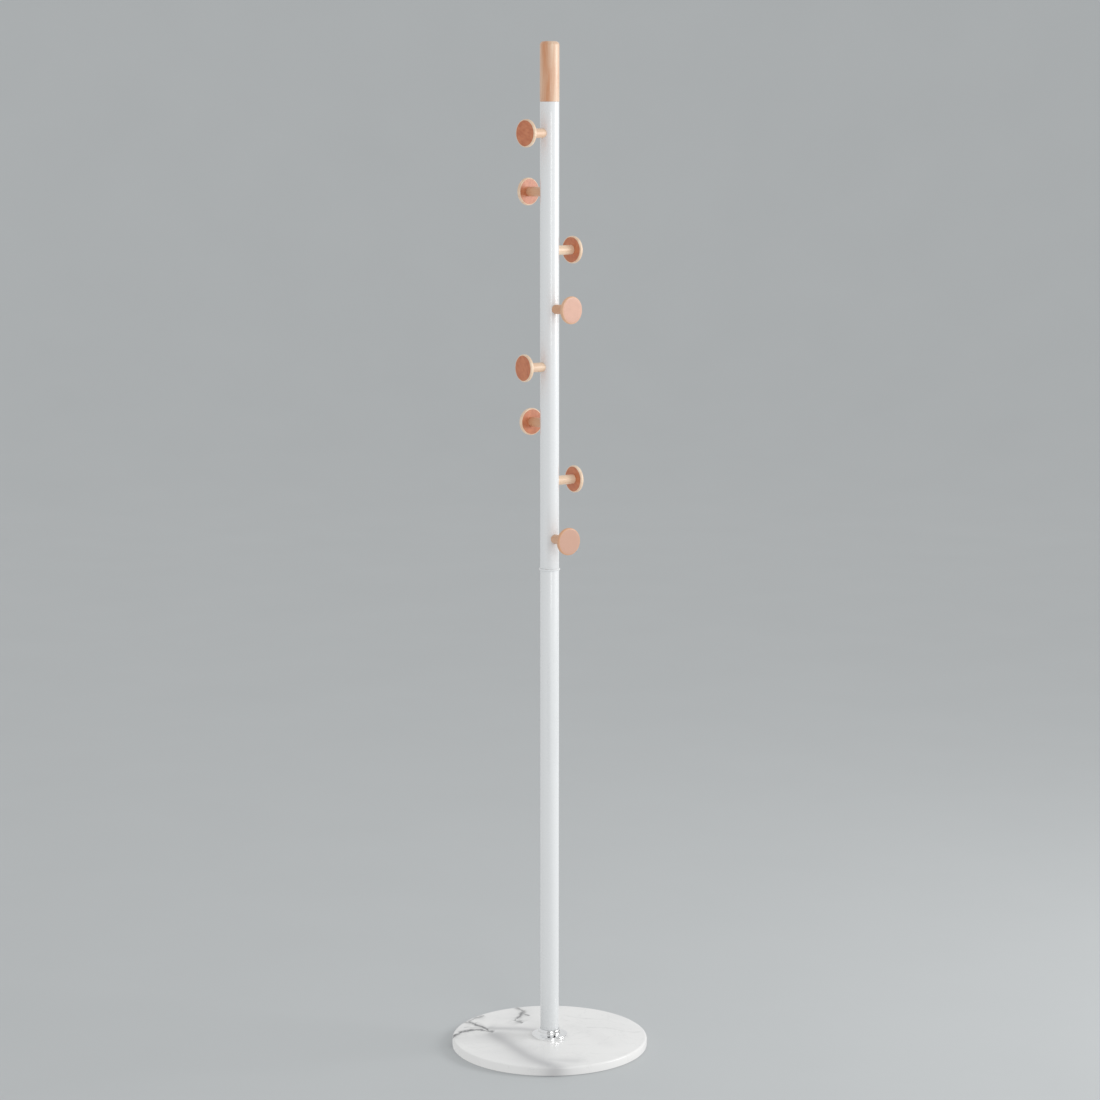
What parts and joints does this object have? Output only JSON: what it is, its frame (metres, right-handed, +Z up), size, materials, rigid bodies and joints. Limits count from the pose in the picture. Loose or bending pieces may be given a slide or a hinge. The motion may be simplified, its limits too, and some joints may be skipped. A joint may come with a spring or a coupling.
{
  "type": "standing coat rack",
  "caption": "Free-standing coat rack: white round pole on a round veined marble foot, chrome collar, wooden cap and wooden mushroom pegs spiralling down the upper pole.",
  "frame": {"origin": "on the floor, at the centre of the round foot, on the axis of the pole", "axes": "+Z up along the pole; the top peg points along -Y, the second along -X, the third along +Y and the fourth along +X"},
  "size_m": [0.34, 0.34, 1.7295],
  "materials": {
    "marble": "polished white marble with fine grey veins and soft grey clouds",
    "white_enamel": "gloss white paint on steel tube",
    "collar_chrome": "polished chrome plate",
    "cap_wood": "clear-lacquered light wood, straight grain along the pole",
    "peg_wood": "clear-lacquered light wood, grain across the discs and along the stems",
    "zinc_steel": "bright zinc plate",
    "pad_rubber": "matt dark foam rubber"
  },
  "bodies": {
    "root": {"marble_base": "marble", "base_washer": "zinc_steel", "base_bolt": "zinc_steel", "foot_collar": "collar_chrome", "foot_plug": "zinc_steel", "lower_tube": "white_enamel", "lower_top_plug": "zinc_steel", "joint_ring": "white_enamel", "joint_stud": "zinc_steel", "upper_bottom_plug": "zinc_steel", "upper_tube": "white_enamel", "upper_top_plug": "zinc_steel", "cap_stud": "zinc_steel", "wood_cap": "cap_wood", "floor_pad_1": "pad_rubber", "floor_pad_2": "pad_rubber", "floor_pad_3": "pad_rubber", "floor_pad_4": "pad_rubber", "hook_disc_1": "peg_wood", "hook_stem_1": "peg_wood", "hook_bolt_1": "zinc_steel", "rivet_nut_1": "zinc_steel", "hook_disc_2": "peg_wood", "hook_stem_2": "peg_wood", "hook_bolt_2": "zinc_steel", "rivet_nut_2": "zinc_steel", "hook_disc_3": "peg_wood", "hook_stem_3": "peg_wood", "hook_bolt_3": "zinc_steel", "rivet_nut_3": "zinc_steel", "hook_disc_4": "peg_wood", "hook_stem_4": "peg_wood", "hook_bolt_4": "zinc_steel", "rivet_nut_4": "zinc_steel", "hook_disc_5": "peg_wood", "hook_stem_5": "peg_wood", "hook_bolt_5": "zinc_steel", "rivet_nut_5": "zinc_steel", "hook_disc_6": "peg_wood", "hook_stem_6": "peg_wood", "hook_bolt_6": "zinc_steel", "rivet_nut_6": "zinc_steel", "hook_disc_7": "peg_wood", "hook_stem_7": "peg_wood", "hook_bolt_7": "zinc_steel", "rivet_nut_7": "zinc_steel", "hook_disc_8": "peg_wood", "hook_stem_8": "peg_wood", "hook_bolt_8": "zinc_steel", "rivet_nut_8": "zinc_steel"}
  },
  "joints": []
}
